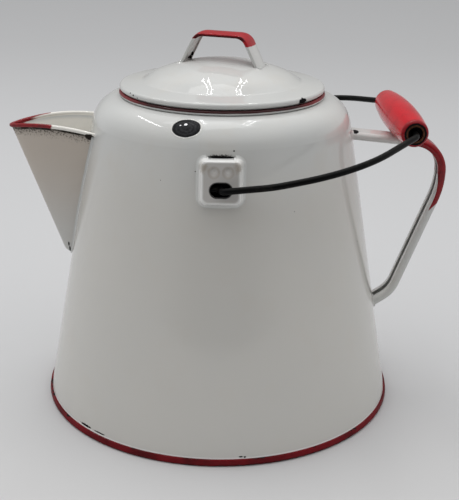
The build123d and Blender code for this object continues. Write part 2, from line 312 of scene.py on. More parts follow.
    def specks(self, spacing: float, radius: float, share: float) -> Value:
        """Adds a scatter of small round specks.

        Args:
            spacing: Average distance between the places where a speck can be, in millimetres.
            radius: Size of the largest speck, in millimetres.
            share: Share of the places that hold a speck.

        Returns:
            1 inside a speck, 0 elsewhere.
        """
        cells = self.add(
            "ShaderNodeTexVoronoi",
            {"feature": "F1"},
            {"Vector": self.place, "Scale": PER_METRE / spacing, "Randomness": 1.0},
        )
        drawn = self.add("ShaderNodeSeparateColor", inputs={0: cells.outputs["Color"]})
        chance = Value(self, drawn.outputs[0])
        reach = Value(self, cells.outputs["Distance"]) * spacing
        kept = self.step(chance, 1.0 - share, 1.0 - share + 0.01)
        return kept * self.step(reach, radius, radius * 0.6)

    def step(self, value: Number, start: float, end: float) -> Value:
        """Adds a smooth step.

        Args:
            value: The number to compare.
            start: Where the step is 0.
            end: Where the step is 1, above or below the start.

        Returns:
            The step, from 0 to 1.
        """
        node = self.add(
            "ShaderNodeMapRange",
            {"interpolation_type": "SMOOTHSTEP", "clamp": True},
            {"Value": value, "From Min": start, "From Max": end, "To Min": 0.0, "To Max": 1.0},
        )
        return Value(self, node.outputs[0])

    def spot(self, mark: "Chip") -> Value:
        """Measures from a ragged spot's middle.

        Args:
            mark: The spot's middle, its half sizes on the three axes, and how its edge wanders.

        Returns:
            The distance, as a share of the spot's radius.
        """
        shares = self.vector_math("DIVIDE", self.moved(mark.centre), tuple(v * MM for v in mark.radii))
        length = Value(self, self.vector_math("LENGTH", shares.outputs[0]).outputs["Value"])
        return length + (self.noise(mark.grain, 3.0) - 0.5) * (2.0 * mark.ragged)

    def mix(self, share: Number, first: Any, second: Any) -> bpy.types.NodeSocket:
        """Blends two colours.

        Args:
            share: 0 for the first colour, 1 for the second.
            first: A tint or a colour socket.
            second: A tint or a colour socket.

        Returns:
            The blended colour.
        """
        node = self.add(
            "ShaderNodeMix", {"data_type": "RGBA", "clamp_factor": True}, {0: share, 6: first, 7: second}
        )
        return node.outputs[2]

    def blend(self, share: Number, first: Number, second: Number) -> Number:
        """Blends two numbers."""
        return first + (second - first) * share

    def bump(
        self, height: Value, reach: float, under: bpy.types.NodeSocket | None = None
    ) -> bpy.types.NodeSocket:
        """Adds a bump.

        Args:
            height: The height, where 1 stands for the whole reach.
            reach: The height of 1, in millimetres.
            under: Another bump's normal that this one stands on.

        Returns:
            The bent normal.
        """
        inputs: dict[str, Any] = {"Strength": 1.0, "Distance": reach * MM, "Height": height}
        if under is not None:
            inputs["Normal"] = under
        return self.add("ShaderNodeBump", inputs=inputs).outputs[0]

    def finish(
        self, inputs: dict[str, Any], constants: dict[str, float], matt: Number = 0.0
    ) -> bpy.types.Material:
        """Ends the tree with its shader, and with a dull one where the surface has lost its shine.

        Args:
            inputs: The shader's sockets that change over the surface.
            constants: The shader's sockets that are the same all over.
            matt: Share of the dull shader.

        Returns:
            The finished material.
        """
        shader = self.add("ShaderNodeBsdfPrincipled", inputs={**constants, **inputs})
        if isinstance(matt, Value):
            kept = {key: inputs[key] for key in ("Base Color", "Normal")}
            dull = self.add("ShaderNodeBsdfPrincipled", inputs={**DULL, **kept})
            shader = self.add(
                "ShaderNodeMixShader", inputs={0: matt, 1: shader.outputs[0], 2: dull.outputs[0]}
            )
        self.add("ShaderNodeOutputMaterial", inputs={"Surface": shader.outputs[0]})
        return self.owner


@dataclass(frozen=True)
class Chip:
    """A ragged mark, such as a place where the glaze has flown off down to the dark ground coat."""

    centre: Point
    radii: Point
    ragged: float = 0.3
    grain: float = 1.6


@dataclass
class Coat:
    """What a surface shows so far: its colour, roughness, metal share, lost glaze and lost shine."""

    colour: bpy.types.NodeSocket
    roughness: Number
    metal: Number = 0.0
    lost: Number = 0.0
    matt: Number = 0.0


@dataclass(frozen=True)
class Enamel:
    """Glossy vitreous enamel, with what has happened to it since."""

    chips: tuple[Chip, ...] = ()
    sooty: tuple[Chip, ...] = ()
    gloss: float = 0.07
    scuffing: float = 0.07
    speck_spacing: float = 9.0
    speck_radius: float = 0.30
    speck_share: float = 0.04
    peel: float = 0.012
    wave: float = 0.10
    chip_depth: float = 0.30
    red_dullness: float = 0.45
    soot_strength: float = 0.95
    halo_strength: float = 0.12
    rust_strength: float = 0.5

    def red_share(self, sheet: NodeSheet) -> Number | None:
        """Returns where the coat is red, or None for a white piece."""
        return None

    def wear(self, sheet: NodeSheet, coat: Coat) -> None:
        """Adds the marks of this piece alone. Plain enamel has none."""

    def white(self, sheet: NodeSheet) -> bpy.types.NodeSocket:
        """Makes the white coat, with faint clouds.

        Args:
            sheet: The material's node sheet.

        Returns:
            The coat's colour.
        """
        cloudy = sheet.step(sheet.noise(55.0, 2.0), 0.35, 0.65)
        warm = sheet.step(sheet.noise(23.0, 3.0, 0.6), 0.50, 0.80)
        coat = sheet.mix(cloudy * 0.5, Tint.WHITE, Tint.COOL_WHITE)
        return sheet.mix(warm * 0.45, coat, Tint.WARM_WHITE)

    def thin(self, sheet: NodeSheet) -> Value:
        """Returns 1 where the red coat is thin, 0 where it is full."""
        return sheet.step(sheet.noise(5.0, 3.0, 0.6), 0.45, 0.80)

    def red(self, sheet: NodeSheet) -> bpy.types.NodeSocket:
        """Returns the red coat's colour, darker where it is thin."""
        return sheet.mix(self.thin(sheet) * 0.45, Tint.RED, Tint.DEEP_RED)

    def build(self, name: str) -> bpy.types.Material:
        """Makes the material.

        Args:
            name: The material's name.

        Returns:
            The finished material.
        """
        sheet = NodeSheet.named(name)
        scuffed = sheet.step(sheet.noise(16.0, 4.0, 0.65), 0.56, 0.74)
        coat = Coat(self.white(sheet), scuffed * self.scuffing + self.gloss)
        red_share = self.red_share(sheet)
        if red_share is not None:
            coat.colour = sheet.mix(red_share, coat.colour, self.red(sheet))
            coat.matt = red_share * self.red_dullness
        self._dirty(sheet, coat)
        self._chipped(sheet, coat)
        self.wear(sheet, coat)
        waves = sheet.bump(sheet.noise(70.0, 1.0), self.wave)
        peel = sheet.bump(sheet.noise(2.6, 1.0), self.peel, waves)
        pitted = sheet.bump(1.0 - coat.lost, self.chip_depth, peel)
        return sheet.finish(
            {
                "Base Color": coat.colour,
                "Roughness": coat.roughness,
                "Metallic": coat.metal,
                "Normal": pitted,
            },
            GLAZE,
            coat.matt,
        )

    def _dirty(self, sheet: NodeSheet, coat: Coat) -> None:
        """Adds the fine dark stipple of burnt-on dirt.

        Args:
            sheet: The material's node sheet.
            coat: What the surface shows so far.
        """
        for patch in self.sooty:
            reach = sheet.spot(patch)
            dots = sheet.step(sheet.noise(patch.grain, 4.0, 0.7) - reach * 0.22, 0.33, 0.42)
            share = dots * sheet.step(reach, 1.15, 0.55)
            coat.colour = sheet.mix(share * self.soot_strength, coat.colour, Tint.GROUND_COAT_AND_SHADE)
            coat.matt = sheet.largest(coat.matt, share)

    def _chipped(self, sheet: NodeSheet, coat: Coat) -> None:
        """Adds the scattered specks and the larger chips.

        Args:
            sheet: The material's node sheet.
            coat: What the surface shows so far.
        """
        bare: Number = sheet.specks(self.speck_spacing, self.speck_radius, self.speck_share)
        halo: Number = 0.0
        for chip in self.chips:
            reach = sheet.spot(chip)
            bare = sheet.largest(bare, sheet.step(reach, 1.02, 0.94))
            halo = sheet.largest(halo, sheet.step(reach, 1.22, 0.98))
        rusty = sheet.step(sheet.noise(1.7, 3.0, 0.65), 0.55, 0.72) * self.rust_strength
        ground = sheet.mix(rusty, Tint.GROUND_COAT_AND_SHADE, Tint.RUST)
        coat.colour = sheet.mix(halo * self.halo_strength, coat.colour, ground)
        coat.colour = sheet.mix(bare, coat.colour, ground)
        coat.lost = bare
        coat.matt = sheet.largest(coat.matt, bare)


@dataclass(frozen=True)
class BodyEnamel(Enamel):
    """The body's white coat, with its red rolled mouth and the struck chip on its shoulder."""

    painted_shade_spots: tuple[Chip, ...] = ()
    middle: Point = (0.0, 0.0, 150.0)
    # Below the shoulder the coat is warmer and, as a painted shade, a little darker.
    warm_shade_from: float = 200.0
    warm_shade_full: float = 150.0
    warmth_and_shade: float = 0.6
    # Painted highlight: a bright line along the thick edge just above the hem.
    painted_highlight_top: float = 5.7
    mouth_red_from: float = 211.75
    # Painted shade: the mouth's red is nearly black in front and clears towards the sides.
    mouth_radius: float = 65.1
    unshaded_from: float = 44.0
    unshaded_full: float = 60.0
    struck: Chip = Chip((-21.4, -77.3, 205.5), (9.2, 8.2, 5.9), 0.05, 5.0)
    struck_rings: float = 21.0
    # Pale bare steel spots, partly bare steel and partly a painted highlight.
    glint: Chip = Chip((-21.4, -74.4, 206.6), (1.15, 0.9, 0.9), 0.25, 0.8)
    small_glint: Chip = Chip((-24.6, -74.3, 206.1), (0.6, 0.5, 0.5), 0.3, 0.6)
    glint_roughness: float = 0.35

    def white(self, sheet: NodeSheet) -> bpy.types.NodeSocket:
        """Makes the white coat, warmer below the shoulder and, as a painted shade, a little darker there,
        with a painted highlight along the thick edge above the hem.

        Args:
            sheet: The material's node sheet.

        Returns:
            The coat's colour.
        """
        z = sheet.axes()[2]
        # Painted shade: the warmer white below the shoulder is also darker than the shoulder.
        wall = sheet.step(z, self.warm_shade_from, self.warm_shade_full) * self.warmth_and_shade
        # Painted highlight: a thin brighter white line along the thick edge above the hem.
        edge = sheet.step(z, self.painted_highlight_top + 0.3, self.painted_highlight_top - 0.3)
        return sheet.mix(edge, sheet.mix(wall, super().white(sheet), Tint.WARM_WHITE), Tint.PAINTED_LIGHT_BRIGHT_WHITE)

    def red_share(self, sheet: NodeSheet) -> Number:
        """Finds the upper half of the rolled mouth.

        Args:
            sheet: The material's node sheet.

        Returns:
            1 where the coat is red, 0 elsewhere.
        """
        x, y, z = sheet.axes()
        ragged = (sheet.noise(8.0, 2.0) - 0.5) * 0.5
        above = sheet.step(z + ragged, self.mouth_red_from - 0.2, self.mouth_red_from + 0.2)
        return above * sheet.step(sheet.across(x, y), self.mouth_radius, self.mouth_radius + 0.2)

    def red(self, sheet: NodeSheet) -> bpy.types.NodeSocket:
        """Makes the mouth's red, with a painted shade under the lid's edge that makes it nearly black in
        front, and brighter at both sides.

        Args:
            sheet: The material's node sheet.

        Returns:
            The red's colour.
        """
        ragged = (sheet.noise(9.0, 3.0, 0.6) - 0.5) * 16.0
        # Painted shade: nearly black in front, under the lid's edge.
        side = sheet.step(abs(sheet.axes()[0]) + ragged, self.unshaded_from, self.unshaded_full)
        return sheet.mix(side, Tint.DARK_RED_AND_SHADE, Tint.DEEP_RED)

    def wear(self, sheet: NodeSheet, coat: Coat) -> None:
        """Adds the painted shade, dark as the ground coat, on the wall inside the ears, and the struck
        chip, on the outside only.

        Args:
            sheet: The material's node sheet.
            coat: What the surface shows so far.
        """
        outside = sheet.step(sheet.away_from(self.middle), -0.05, 0.05)
        # Painted shade: the wall behind each ear is painted dark as the ground coat.
        for bare in self.painted_shade_spots:
            under = sheet.step(sheet.spot(bare), 1.0, 0.9) * outside
            coat.colour = sheet.mix(under, coat.colour, Tint.GROUND_COAT_AND_SHADE)
            coat.matt = sheet.largest(coat.matt, under)
        self._struck(sheet, coat, outside)
        # The two bare steel spots are painted pale, partly bare steel and partly a painted highlight.
        for spot in (self.glint, self.small_glint):
            bright = sheet.step(sheet.spot(spot), 1.05, 0.80)
            coat.colour = sheet.mix(bright, coat.colour, Tint.BARE_STEEL)
            coat.metal = coat.metal + bright * 0.6
            coat.roughness = sheet.blend(bright, coat.roughness, self.glint_roughness)
            coat.matt = coat.matt * (1.0 - bright)

    def _struck(self, sheet: NodeSheet, coat: Coat, outside: Value) -> None:
        """Adds the struck chip: a raised lip with a painted highlight on it, and a dark disc with rings
        round the point that was hit.

        Args:
            sheet: The material's node sheet.
            coat: What the surface shows so far.
            outside: 1 on the pot's outside, 0 on its inside.
        """
        reach = sheet.spot(self.struck)
        disc = sheet.step(reach, 1.0, 0.95) * outside
        rings = sheet.math("SINE", (reach + (sheet.noise(3.0, 2.0) - 0.5) * 0.25) * self.struck_rings)
        grainy = sheet.step(sheet.noise(1.1, 4.0, 0.7), 0.42, 0.70)
        light = (rings * 0.18 + 0.30) * sheet.step(reach, 0.95, 0.55) + grainy * 0.40
        ground = sheet.mix(light, Tint.GROUND_COAT_AND_SHADE, Tint.GROUND_GREY)
        lip = sheet.step(reach, 1.14, 1.05) * sheet.step(reach, 0.97, 1.04) * outside
        # Painted highlight: the raised lip is painted a brighter white.
        coat.colour = sheet.mix(lip * 0.5, coat.colour, Tint.PAINTED_LIGHT_WHITE)
        coat.colour = sheet.mix(disc, coat.colour, ground)
        coat.lost = sheet.largest(coat.lost, disc * (rings * 0.10 + 0.80)) - lip * 0.5
        coat.matt = sheet.largest(coat.matt, disc * 0.9)


@dataclass(frozen=True)
class EarEnamel(Enamel):
    """An ear's coat: a duller face inside its bevel, which is painted bright as a painted highlight, with
    painted shade in its slit, round its hole and on its inner side.
    """

    face_middle: float = 176.9
    face_half: Pair = (10.9, 12.0)
    face_corner: float = 3.6
    slit_half: float = 7.4
    slit_low: float = 189.35
    hole_height: float = 172.5
    hole_straight: float = 2.3
    hole_radius: float = 4.2
    dent_place: Pair = (4.2, 182.8)
    dent_radius: float = 4.1
    dent_depth: float = 2.6
    stain_place: Pair = (10.2, 185.6)

    def _ring(self, sheet: NodeSheet, across: float, height: float, straight: float = 0.0) -> Value:
        """Measures from a lying slot's middle line, across the ear's face.

        Args:
            sheet: The material's node sheet.
            across: The slot's distance from the middle of the face, the same on both sides.
            height: The slot's height.
            straight: Half of its straight run, or 0 for a round mark.

        Returns:
            The distance, in millimetres.
        """
        x, _, z = sheet.axes()
        side = sheet.largest(abs(x) - across - straight, 0.0) if straight else abs(x) - across
        return sheet.math("SQRT", side * side + (z - height) * (z - height))

    def _face(self, sheet: NodeSheet) -> Value:
        """Finds the flat face, with its round corners.

        Args:
            sheet: The material's node sheet.

        Returns:
            1 on the face, 0 on the bevel.
        """
        x, _, z = sheet.axes()
        straight_width, straight_height = (half - self.face_corner for half in self.face_half)
        side = sheet.largest(abs(x) - straight_width, 0.0)
        rise = sheet.largest(abs(z - self.face_middle) - straight_height, 0.0)
        off_face = sheet.math("SQRT", side * side + rise * rise)
        return sheet.step(off_face, self.face_corner + 0.5, self.face_corner - 1.1)

    def wear(self, sheet: NodeSheet, coat: Coat) -> None:
        """Adds the duller face, the painted highlight on the bevel, the stains, the painted shade in the
        slit, round the hole and inside the ear, and the soft dents with a painted shade ring.

        Args:
            sheet: The material's node sheet.
            coat: What the surface shows so far.
        """
        x, _, z = sheet.axes()
        # Painted highlight: the bevel round the face is painted brighter.
        coat.colour = sheet.mix(self._face(sheet), Tint.PAINTED_LIGHT_BRIGHT_WHITE, Tint.FACE_WHITE)
        blotch = sheet.noise(2.4, 4.0, 0.7) * 8.0
        stain = sheet.step(self._ring(sheet, *self.stain_place) + blotch, 8.4, 4.4)
        coat.colour = sheet.mix(stain * 0.6, coat.colour, Tint.STAIN_AND_SHADE)
        # Painted shade: the slit, the hole's rim and the ear's inner side are painted dark as the ground
        # coat.
        hole = self._ring(sheet, 0.0, self.hole_height, self.hole_straight)
        rim = sheet.step(hole + blotch * 0.07, self.hole_radius + 1.15, self.hole_radius + 0.6)
        slit = sheet.step(abs(x), self.slit_half + 0.3, self.slit_half)
        slit = slit * sheet.step(z, self.slit_low, self.slit_low + 0.5)
        within = sheet.step(sheet.sideways(), 4.0, -4.0)
        dark = sheet.largest(rim * 0.9, slit, within)
        coat.colour = sheet.mix(dark, coat.colour, Tint.GROUND_COAT_AND_SHADE)
        coat.matt = sheet.largest(coat.matt, dark)
        dent = self._ring(sheet, *self.dent_place)
        # Painted shade: a darker ring inside each dent.
        dent_shade = sheet.step(dent, self.dent_radius, self.dent_radius - 0.8) * sheet.step(dent, 1.4, 3.0)
        coat.colour = sheet.mix(dent_shade * 0.35, coat.colour, Tint.STAIN_AND_SHADE)
        coat.lost = coat.lost + sheet.step(dent, self.dent_radius, 0.0) * self.dent_depth


@dataclass(frozen=True)
class PanEnamel(Enamel):
    """The red hem round the foot, darker where it is thick with soot and broken along its top."""

    hem_top: float = 4.7
    hem_inside: float = 116.8
    hem_dullness: float = 0.85

    def red_share(self, sheet: NodeSheet) -> Number:
        """Returns 1 all over the hem and 0 inside the pot."""
        x, y, _ = sheet.axes()
        return sheet.step(sheet.across(x, y), self.hem_inside - 0.4, self.hem_inside + 0.4)

    def red(self, sheet: NodeSheet) -> bpy.types.NodeSocket:
        """Returns the hem's darker red."""
        thin = sheet.step(sheet.noise(14.0, 3.0, 0.6), 0.35, 0.75)
        return sheet.mix(thin * 0.7, Tint.HEM_RED, Tint.DARK_RED_AND_SHADE)

    def wear(self, sheet: NodeSheet, coat: Coat) -> None:
        """Adds the broken edge along the hem's top and the scraped lower corner.

        Args:
            sheet: The material's node sheet.
            coat: What the surface shows so far.
        """
        z = sheet.axes()[2]
        ragged = (sheet.noise(5.0, 4.0, 0.7) - 0.5) * 6.0
        edge = sheet.step(z + ragged, self.hem_top - 0.3, self.hem_top + 0.4)
        broken = edge * sheet.step(sheet.noise(24.0, 2.0), 0.50, 0.58)
        scraped = sheet.step(z - ragged * 0.4, 1.1, 0.5) * sheet.step(sheet.noise(13.0, 3.0), 0.45, 0.60)
        bare = sheet.largest(broken, scraped)
        coat.colour = sheet.mix(bare, coat.colour, Tint.GROUND_COAT_AND_SHADE)
        coat.lost = sheet.largest(coat.lost, bare)
        coat.matt = sheet.largest(coat.matt, bare, self.red_share(sheet) * self.hem_dullness)


@dataclass(frozen=True)
class SpoutEnamel(Enamel):
    """The spout's coat: white, with a red tip and rim and dark marks under the rim."""

    rim_tip: Pair = (-140.3, 186.9)
    rim_crest: Pair = (-113.4, 190.6)
    rim_root: Pair = (-86.5, 188.7)
    bead: float = 1.3
    red_end: float = -113.8
    red_skew: float = 0.17
    lip_reach: float = -133.5
    dusty_to: float = 110.0
    dusty_share: float = 0.85
    corner: Chip = Chip((-84.6, -28.6, 186.4), (3.6, 4.0, 2.6), 0.45, 2.2)
    haze: float = 0.22
    dot_strength: float = 0.62

    def _arch(self) -> tuple[float, float, float]:
        """Fits a circle to the rim's arch, from its tip, its crest and its root.

        Returns:
            The circle's middle, as x and z, and its radius.
        """
        (x1, z1), (x2, z2), (x3, z3) = self.rim_tip, self.rim_crest, self.rim_root
        a = 2.0 * (x2 - x1), 2.0 * (z2 - z1), x2 * x2 - x1 * x1 + z2 * z2 - z1 * z1
        b = 2.0 * (x3 - x2), 2.0 * (z3 - z2), x3 * x3 - x2 * x2 + z3 * z3 - z2 * z2
        whole = a[0] * b[1] - b[0] * a[1]
        x = (a[2] * b[1] - b[2] * a[1]) / whole
        z = (a[0] * b[2] - b[0] * a[2]) / whole
        return x, z, math.hypot(x1 - x, z1 - z)

    def _below_rim(self, sheet: NodeSheet) -> Value:
        """Measures how far the surface lies below the middle of the rim's bead.

        Args:
            sheet: The material's node sheet.

        Returns:
            The distance, in millimetres.
        """
        x, _, z = sheet.axes()
        middle_x, middle_z, radius = self._arch()
        return radius - sheet.across(x - middle_x, z - middle_z)

    def _outward(self, sheet: NodeSheet) -> Value:
        """Returns 1 where the surface faces away from the trough, 0 inside it."""
        return sheet.step(sheet.sideways(), -0.5, 0.5)

    def white(self, sheet: NodeSheet) -> bpy.types.NodeSocket:
        """Makes the white coat, dusty outside, with painted light that makes it brighter inside the shaded
        trough and on the bead.

        Args:
            sheet: The material's node sheet.

        Returns:
            The coat's colour.
        """
        below = self._below_rim(sheet)
        outer = self._outward(sheet)
        # Painted light: the inside of the trough and the bead are painted brighter than the enamel.
        inside = (1.0 - outer) * sheet.step(below, self.bead, self.bead + 3.0)
        dusty = outer * sheet.step(below, self.dusty_to, 10.0) * self.dusty_share
        on_bead = sheet.step(below, self.bead + 0.1, self.bead - 0.1)
        coat = sheet.mix(dusty, super().white(sheet), Tint.DUSTY_WHITE)
        return sheet.mix(sheet.largest(inside, on_bead), coat, Tint.PAINTED_LIGHT_WHITE)

    def red(self, sheet: NodeSheet) -> bpy.types.NodeSocket:
        """Returns the rim's maroon."""
        return sheet.mix(self.thin(sheet) * 0.6, Tint.MAROON, Tint.DARK_RED_AND_SHADE)

    def red_share(self, sheet: NodeSheet) -> Number:
        """Finds the red of the rim, from the tip towards the wall, and of the lip inside the tip.

        Args:
            sheet: The material's node sheet.

        Returns:
            1 where the coat is red, 0 elsewhere.
        """
        x, y, _ = sheet.axes()
        below = self._below_rim(sheet)
        ragged = (sheet.noise(4.0, 3.0, 0.6) - 0.5) * 2.4
        near_tip = sheet.step(x + y * self.red_skew + ragged, self.red_end + 0.5, self.red_end - 0.5)
        at_lip = sheet.step(x + ragged, self.lip_reach + 2.5, self.lip_reach - 1.0)
        on_bead = sheet.step(below, self.bead + 0.15, self.bead - 0.05)
        outer_half = sheet.step(sheet.sideways() * -0.06, 0.62, 0.42)
        poured = at_lip * sheet.step(below + ragged * 0.6, 4.0, 2.4) * (1.0 - self._outward(sheet))
        return sheet.largest(near_tip * on_bead * sheet.largest(outer_half, at_lip), poured)

    def wear(self, sheet: NodeSheet, coat: Coat) -> None:
        """Adds the dark line, the fine stipple and the haze under the rim.

        Args:
            sheet: The material's node sheet.
            coat: What the surface shows so far.
        """
        below = self._below_rim(sheet)
        wander = (sheet.noise(3.5, 4.0, 0.7) - 0.5) * 2.2
        line = sheet.step(below, self.bead - 0.35, self.bead - 0.05)
        line = line * sheet.step(below + wander * 0.6, self.bead + 1.9, self.bead + 1.1)
        patches = sheet.step(sheet.noise(6.0, 3.0, 0.6), 0.36, 0.52) * 0.5 + 0.5
        corner = sheet.step(sheet.spot(self.corner), 1.05, 0.85)
        dots = sheet.step(sheet.noise(1.4, 3.0, 0.7) - below * 0.014, 0.42, 0.52)
        dots = dots * sheet.step(below, 11.0, 3.0) * self.dot_strength
        haze = sheet.step(below + wander * 2.0, 8.0, 2.0) * self.haze
        under = sheet.step(below, self.bead - 0.2, self.bead + 0.2)
        dirt = self._outward(sheet) * sheet.largest(line * patches, corner, (dots + haze) * under)
        coat.colour = sheet.mix(dirt, coat.colour, Tint.GRIME_AND_SHADE)
        coat.matt = sheet.largest(coat.matt, dirt)


@dataclass(frozen=True)
class HandleEnamel(Enamel):
    """The side handle's coat: white, with red over its upper bend and a channel painted with light above
    and with shade below.
    """

    bend_middle: Point = (105.0, 0.0, 150.0)
    red_from: float = 119.0
    red_to: float = 137.5
    bright_from: float = 178.5
    bright_full: float = 183.0
    lip_edge: float = 2.9
    # Painted shade: below these heights the channel's inner face is painted dark.
    painted_shade_from: float = 137.0
    painted_shade_full: float = 131.0

    def _outward(self, sheet: NodeSheet) -> Value:
        """Returns how far the surface faces away from the middle of the hand's opening."""
        return sheet.away_from(self.bend_middle, (1.0, 0.0, 1.0))

    def red_share(self, sheet: NodeSheet) -> Number:
        """Finds the red on the back and sides of the handle's upper bend.

        Args:
            sheet: The material's node sheet.

        Returns:
            1 where the coat is red, 0 elsewhere.
        """
        x, _, z = sheet.axes()
        outward = self._outward(sheet)
        ragged = (sheet.noise(6.0, 3.0, 0.6) - 0.5) * 3.0
        along = sheet.step(x + ragged, self.red_from, self.red_from + 1.0)
        lower = sheet.step(z + ragged + outward * -4.0, self.red_to - 3.0, self.red_to - 1.5)
        rim = sheet.blend(sheet.step(z, 168.0, 142.0), -1.2, -0.45)
        outer = sheet.step(outward - rim + ragged * 0.02, -0.06, 0.06)
        return along * lower * outer * sheet.step(sheet.sideways(), -1.0, -0.3)

    def red(self, sheet: NodeSheet) -> bpy.types.NodeSocket:
        """Returns the handle's red, bright beside the grip and maroon round the bend."""
        bend = sheet.mix(self.thin(sheet) * 0.5, Tint.MAROON, Tint.DARK_RED_AND_SHADE)
        return sheet.mix(sheet.step(sheet.axes()[2], self.bright_from, self.bright_full), bend, Tint.RED)

    def wear(self, sheet: NodeSheet, coat: Coat) -> None:
        """Paints the channel's upper half a brighter white as painted light in its shade, and darkens its
        lower half with painted shade.

        Args:
            sheet: The material's node sheet.
            coat: What the surface shows so far.
        """
        _, y, z = sheet.axes()
        outward = self._outward(sheet)
        within = sheet.step(abs(y), self.lip_edge + 0.15, self.lip_edge - 0.15)
        low = sheet.step(z, self.painted_shade_from, self.painted_shade_full)
        channel = within * sheet.step(outward, 0.4, 0.1)
        # Painted light: the channel's upper half, which lies in shade, is painted brighter.
        coat.colour = sheet.mix(channel * (1.0 - low), coat.colour, Tint.PAINTED_LIGHT_BRIGHT_WHITE)
        # Painted shade: the inner face of the channel's lower half is painted dark.
        inner = within * sheet.step(outward, -0.35, -0.55) * low
        coat.colour = sheet.mix(inner * 0.95, coat.colour, Tint.GRIME_AND_SHADE)
        coat.matt = sheet.largest(coat.matt, inner)


@dataclass(frozen=True)
class StrapEnamel(Enamel):
    """The lid handle's red top over white legs, with a painted shade line under the red."""

    red_from: float = 246.0
    red_dip: float = 3.2
    turn: float = -20.0
    half_width: float = 8.0
    lip_bottom: float = 248.4

    def _along_across(self, sheet: NodeSheet) -> tuple[Value, Value]:
        """Measures along the bridge and across it.

        Args:
            sheet: The material's node sheet.

        Returns:
            Both places, in millimetres from the lid's axis.
        """
        x, y, _ = sheet.axes()
        turn = math.radians(self.turn)
        return x * math.cos(turn) + y * math.sin(turn), y * math.cos(turn) - x * math.sin(turn)

    def red_share(self, sheet: NodeSheet) -> Number:
        """Finds the red of the bridge, which comes lower down over its right bend.

        Args:
            sheet: The material's node sheet.

        Returns:
            1 where the coat is red, 0 elsewhere.
        """
        along, _ = self._along_across(sheet)
        ragged = (sheet.noise(4.0, 3.0) - 0.5) * 1.4
        dip = sheet.step(along, 10.0, 18.0) * self.red_dip
        return sheet.step(sheet.axes()[2] + ragged + dip, self.red_from, self.red_from + 0.5)

    def wear(self, sheet: NodeSheet, coat: Coat) -> None:
        """Darkens the lower edge of the bridge's two lips with painted shade.

        Args:
            sheet: The material's node sheet.
            coat: What the surface shows so far.
        """
        z = sheet.axes()[2]
        along, across = self._along_across(sheet)
        ragged = (sheet.noise(3.0, 3.0) - 0.5) * 0.5
        near = sheet.step(abs(across), self.half_width - 0.9, self.half_width - 0.6)
        low = sheet.step(z + ragged, self.lip_bottom + 1.0, self.lip_bottom + 0.6)
        bridge = sheet.step(abs(along), 20.0, 16.0) * sheet.step(z, self.red_from, self.red_from + 0.5)
        under = near * low * bridge
        # Painted shade: the lower edge of the lips is painted dark red.
        coat.colour = sheet.mix(under * 0.9, coat.colour, Tint.DARK_RED_AND_SHADE)
        coat.matt = sheet.largest(coat.matt, under * 0.7)


@dataclass(frozen=True)
class LidEnamel(Enamel):
    """The lid's white coat, a little duller where cloths have rubbed it."""

    rubbing: float = 0.06

    def wear(self, sheet: NodeSheet, coat: Coat) -> None:
        """Adds the rubbed patches."""
        rubbed = sheet.step(sheet.noise(11.0, 4.0, 0.7), 0.60, 0.72)
        coat.roughness = coat.roughness + rubbed * self.rubbing


@dataclass(frozen=True)
class DrawnWire:
    """Blackened drawn wire, rubbed brighter where it moves."""

    roughness: float = 0.33
    pit_depth: float = 0.12

    def build(self, name: str) -> bpy.types.Material:
        """Makes the material.

        Args:
            name: The material's name.

        Returns:
            The finished material.
        """
        sheet = NodeSheet.named(name)
        worn = sheet.step(sheet.noise(7.0, 4.0, 0.65), 0.54, 0.76)
        pits = sheet.noise(0.9, 3.0, 0.6)
        return sheet.finish(
            {
                "Base Color": sheet.mix(worn * 0.8, Tint.WIRE, Tint.WIRE_WORN),
                "Roughness": worn * -0.06 + self.roughness,
                "Normal": sheet.bump(pits, self.pit_depth),
            },
            {"IOR": 1.45, "Specular IOR Level": 0.11},
        )


